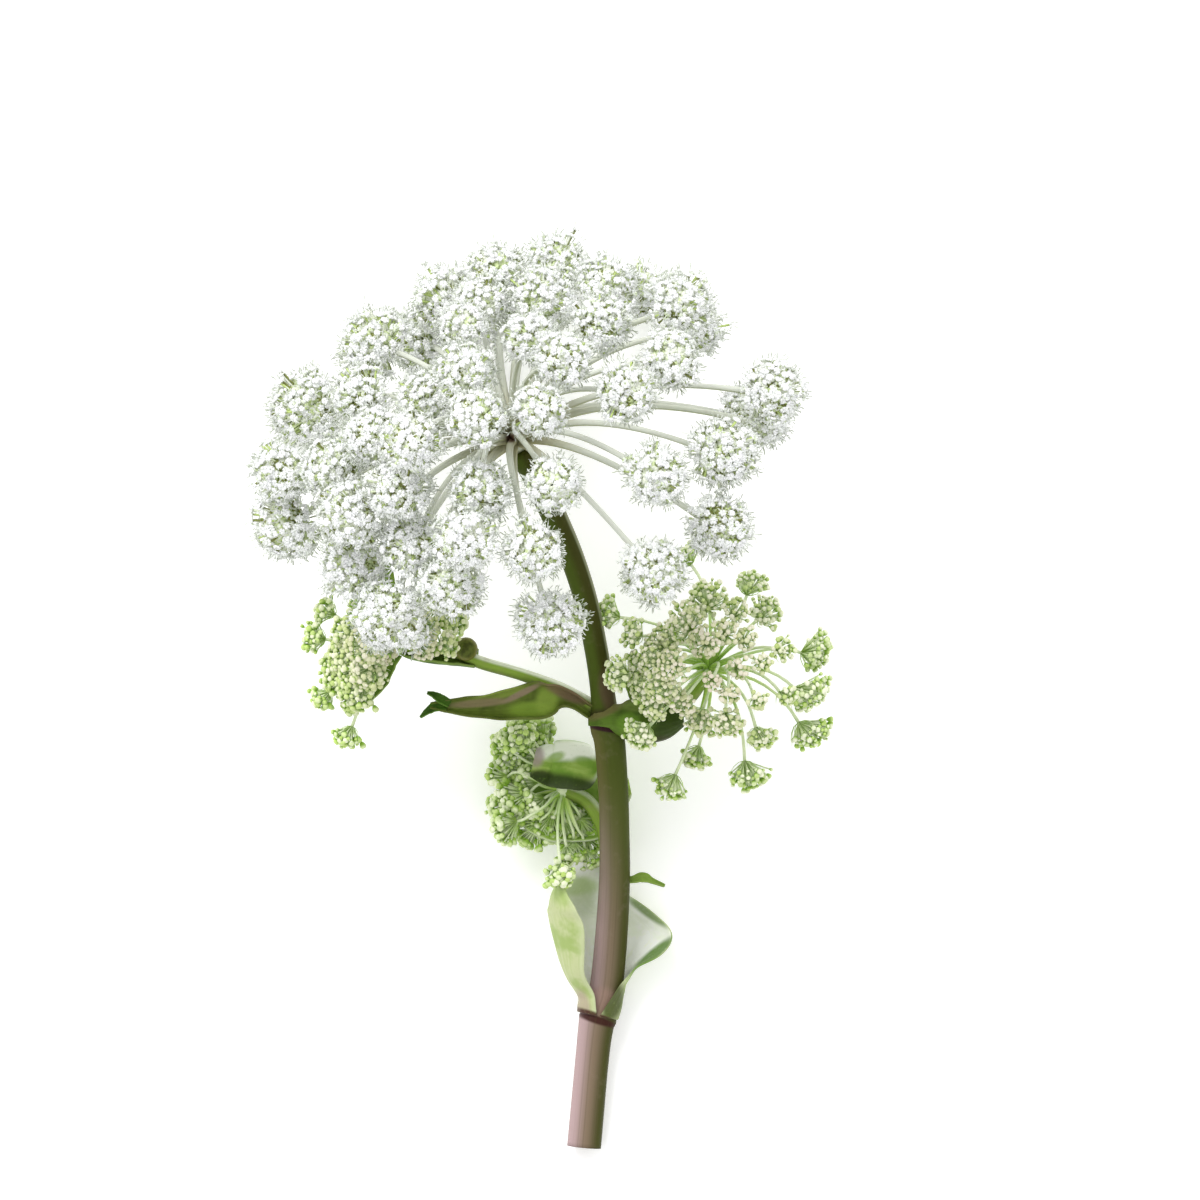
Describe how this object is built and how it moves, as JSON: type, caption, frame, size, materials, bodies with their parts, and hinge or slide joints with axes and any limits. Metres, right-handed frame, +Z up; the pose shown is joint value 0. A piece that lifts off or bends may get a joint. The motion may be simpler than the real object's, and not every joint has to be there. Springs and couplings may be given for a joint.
{
  "type": "angelica flower stem",
  "caption": "Cut angelica stem lying down: a round umbel of white flower heads on long rays, green side umbels in bud and bulging leaf sheaths.",
  "frame": {"origin": "middle of the bounding box in X and Y, on the surface the plant lies on (Z = 0)", "axes": "+Y from the cut end of the stem towards the flowers, +X to the right as seen from above, +Z up from the surface"},
  "size_m": [0.1566, 0.247, 0.1241],
  "materials": {
    "stem": "living stem, mauve-grey to olive, matt with a faint bloom",
    "rays": "pale beige-green ribbed stalks",
    "flowers": "white petals, matt and slightly translucent",
    "buds": "green buds with pale tips, matt",
    "leaf": "green leaf sheath with purple-brown edges",
    "pale_sheath": "pale green leaf sheath, whitish inside"
  },
  "bodies": {
    "root": {"back_sheath": "leaf", "back_shoot": "buds", "boat_leaf": "leaf", "leaf_tip": "leaf", "left_sheath": "leaf", "left_shoot": "buds", "lower_sheath": "pale_sheath", "main_stem": "stem", "pouch": "leaf", "right_shoot": "buds", "umbel_rays": "rays", "umbellule_01": "flowers", "umbellule_02": "flowers", "umbellule_03": "flowers", "umbellule_04": "flowers", "umbellule_05": "flowers", "umbellule_06": "flowers", "umbellule_07": "flowers", "umbellule_08": "flowers", "umbellule_09": "flowers", "umbellule_10": "flowers", "umbellule_11": "flowers", "umbellule_12": "flowers", "umbellule_13": "flowers", "umbellule_14": "flowers", "umbellule_15": "flowers", "umbellule_16": "flowers", "umbellule_17": "flowers", "umbellule_18": "flowers", "umbellule_19": "flowers", "umbellule_20": "flowers", "umbellule_21": "flowers", "umbellule_22": "flowers", "umbellule_23": "flowers", "umbellule_24": "flowers", "umbellule_25": "flowers", "umbellule_26": "flowers", "umbellule_27": "flowers", "umbellule_28": "flowers", "umbellule_29": "flowers", "umbellule_30": "flowers", "umbellule_31": "flowers", "umbellule_32": "flowers", "umbellule_33": "flowers", "umbellule_34": "flowers", "umbellule_35": "flowers", "umbellule_36": "flowers", "umbellule_37": "flowers", "umbellule_38": "flowers", "umbellule_39": "flowers", "umbellule_40": "flowers", "umbellule_41": "flowers", "umbellule_42": "flowers", "umbellule_43": "flowers", "umbellule_44": "flowers", "umbellule_45": "flowers", "umbellule_46": "flowers", "umbellule_47": "flowers", "umbellule_48": "flowers"}
  },
  "joints": []
}
